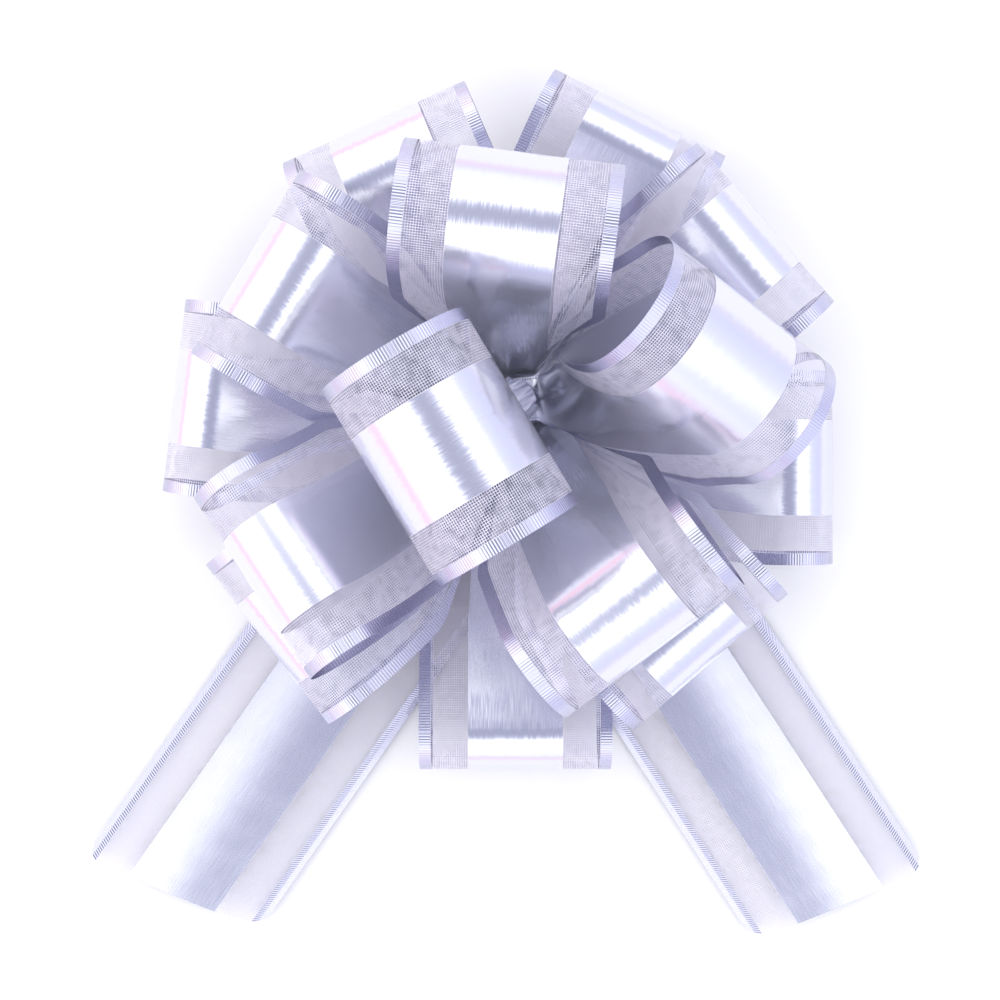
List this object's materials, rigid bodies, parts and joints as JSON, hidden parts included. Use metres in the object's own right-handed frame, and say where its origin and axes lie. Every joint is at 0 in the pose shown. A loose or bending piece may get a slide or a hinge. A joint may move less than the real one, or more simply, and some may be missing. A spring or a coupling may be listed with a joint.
{
  "type": "gift bow",
  "caption": "Ready-made pull bow: a pompom of wide ribbon loops gathered on two pull strings, with two flat ribbon tails.",
  "frame": {"origin": "on the pull strings' axis, at the flat back of the lower tail, where the bow lies on a gift", "axes": "+Z along the pull strings, out of the gift; the two tails run towards -Y, one to each side"},
  "size_m": [0.2234, 0.2319, 0.1074],
  "materials": {
    "ribbon": "mirror-satin silver film with sheer woven strips",
    "pull_string": "narrow woven satin",
    "weld": "heat-sealed film"
  },
  "bodies": {
    "strings": {"pull_string_left": "pull_string", "pull_string_right": "pull_string", "string_knot": "pull_string", "end_seal": "weld"},
    "loop_pair_1": {"side_loop_right": "ribbon", "side_loop_left": "ribbon"},
    "loop_pair_2": {"back_loop_bottom": "ribbon", "back_loop_upper_right": "ribbon"},
    "loop_pair_3": {"back_loop_lower_right": "ribbon", "back_loop_upper_left": "ribbon"},
    "loop_pair_4": {"side_loop_upper_right": "ribbon", "back_loop_lower_left": "ribbon"},
    "loop_pair_5": {"middle_loop_upper_left": "ribbon", "middle_loop_lower_right": "ribbon"},
    "loop_pair_6": {"middle_loop_top": "ribbon", "middle_loop_lower_left": "ribbon"},
    "loop_pair_7": {"crown_loop_right": "ribbon", "crown_loop_left": "ribbon"},
    "tail_left": {"tail_left": "ribbon"},
    "tail_right": {"tail_right": "ribbon"}
  },
  "joints": [
    {"name": "pair_1_swivel", "type": "hinge", "parent": "strings", "child": "loop_pair_1", "pos_m": [0, 0, 0], "axis": [0, 0, 1], "range_deg": [-4, 4]},
    {"name": "pair_2_swivel", "type": "hinge", "parent": "strings", "child": "loop_pair_2", "pos_m": [0, 0, 0], "axis": [0, 0, 1], "range_deg": [-4, 4]},
    {"name": "pair_3_swivel", "type": "hinge", "parent": "strings", "child": "loop_pair_3", "pos_m": [0, 0, 0], "axis": [0, 0, 1], "range_deg": [-4, 4]},
    {"name": "pair_4_swivel", "type": "hinge", "parent": "strings", "child": "loop_pair_4", "pos_m": [0, 0, 0], "axis": [0, 0, 1], "range_deg": [-2, 4]},
    {"name": "pair_5_swivel", "type": "hinge", "parent": "strings", "child": "loop_pair_5", "pos_m": [0, 0, 0], "axis": [0, 0, 1], "range_deg": [-4, 2]},
    {"name": "pair_6_swivel", "type": "hinge", "parent": "strings", "child": "loop_pair_6", "pos_m": [0, 0, 0], "axis": [0, 0, 1], "range_deg": [-4, 4]},
    {"name": "pair_7_swivel", "type": "hinge", "parent": "strings", "child": "loop_pair_7", "pos_m": [0, 0, 0], "axis": [0, 0, 1], "range_deg": [-4, 2]},
    {"name": "tail_left_swivel", "type": "hinge", "parent": "strings", "child": "tail_left", "pos_m": [0, 0, 0], "axis": [0, 0, 1], "range_deg": [-8, 8]},
    {"name": "tail_right_swivel", "type": "hinge", "parent": "strings", "child": "tail_right", "pos_m": [0, 0, 0], "axis": [0, 0, 1], "range_deg": [-8, 8]}
  ]
}
